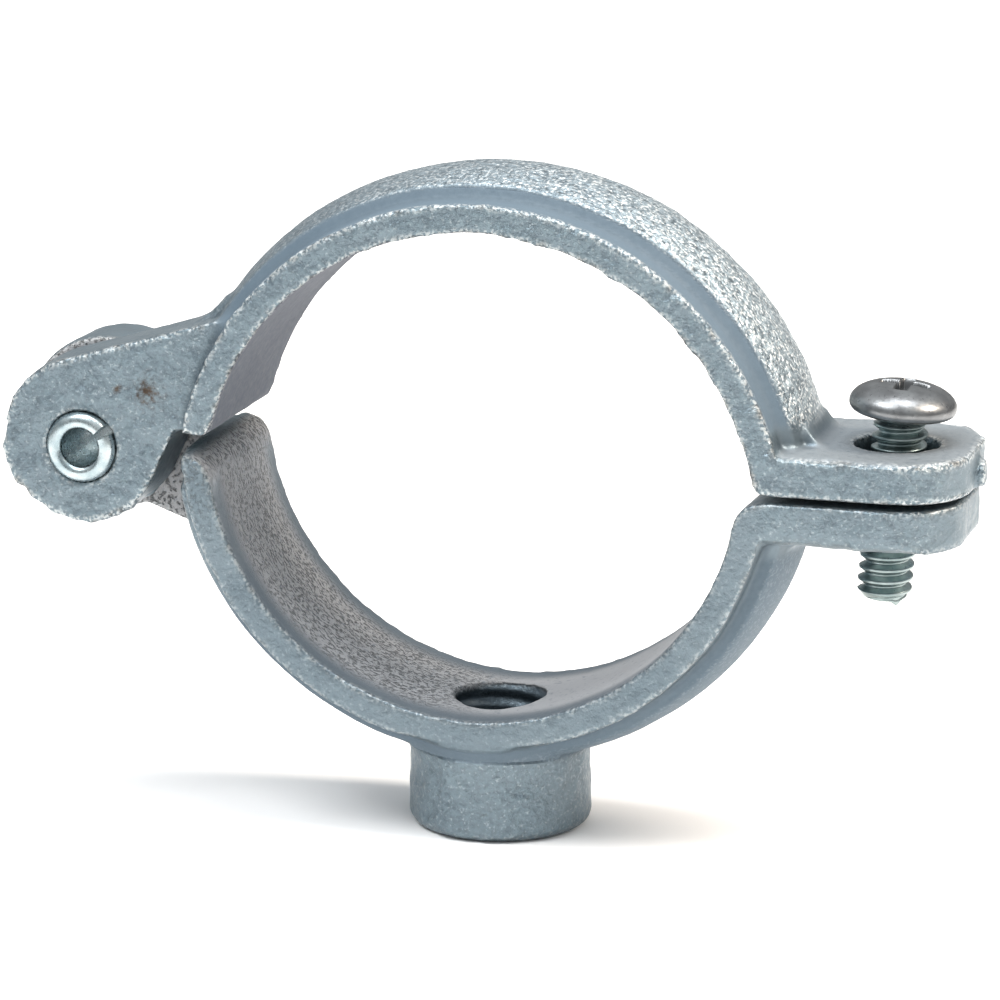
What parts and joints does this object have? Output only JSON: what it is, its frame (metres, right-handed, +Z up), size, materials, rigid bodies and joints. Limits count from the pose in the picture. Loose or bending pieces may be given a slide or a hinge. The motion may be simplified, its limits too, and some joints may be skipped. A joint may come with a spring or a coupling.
{
  "type": "split ring hanger",
  "caption": "Hinged cast iron split ring that closes round a pipe with a clamp screw and hangs from a threaded rod in its tapped boss.",
  "frame": {"origin": "middle of the closed ring, on the rod's axis and halfway between the two arcs' centres, at mid width", "axes": "+X from the hinge to the clamping ears, +Y along the pipe, +Z up and away from the boss, whose rod leaves along -Z"},
  "size_m": [0.0878, 0.0172, 0.0594],
  "materials": {
    "galvanised_iron": "hot-dip galvanised malleable iron casting, sandy and dull",
    "spring_steel": "zinc plated rolled spring pin",
    "zinc_steel": "bright zinc plated machine screw"
  },
  "bodies": {
    "lower": {"lower_half": "galvanised_iron"},
    "upper": {"upper_half": "galvanised_iron", "hinge_pin": "spring_steel"},
    "screw": {"clamp_screw": "zinc_steel"}
  },
  "joints": [
    {"name": "ring_hinge", "type": "hinge", "parent": "lower", "child": "upper", "pos_m": [-0.0367, 0, 0.0007], "axis": [0, -1, 0], "range_deg": [0, 150]},
    {"name": "screw_travel", "type": "slide", "parent": "upper", "child": "screw", "axis": [0.0828, 0, 0.9966], "range_m": [-0.0021, 0.0105]}
  ]
}
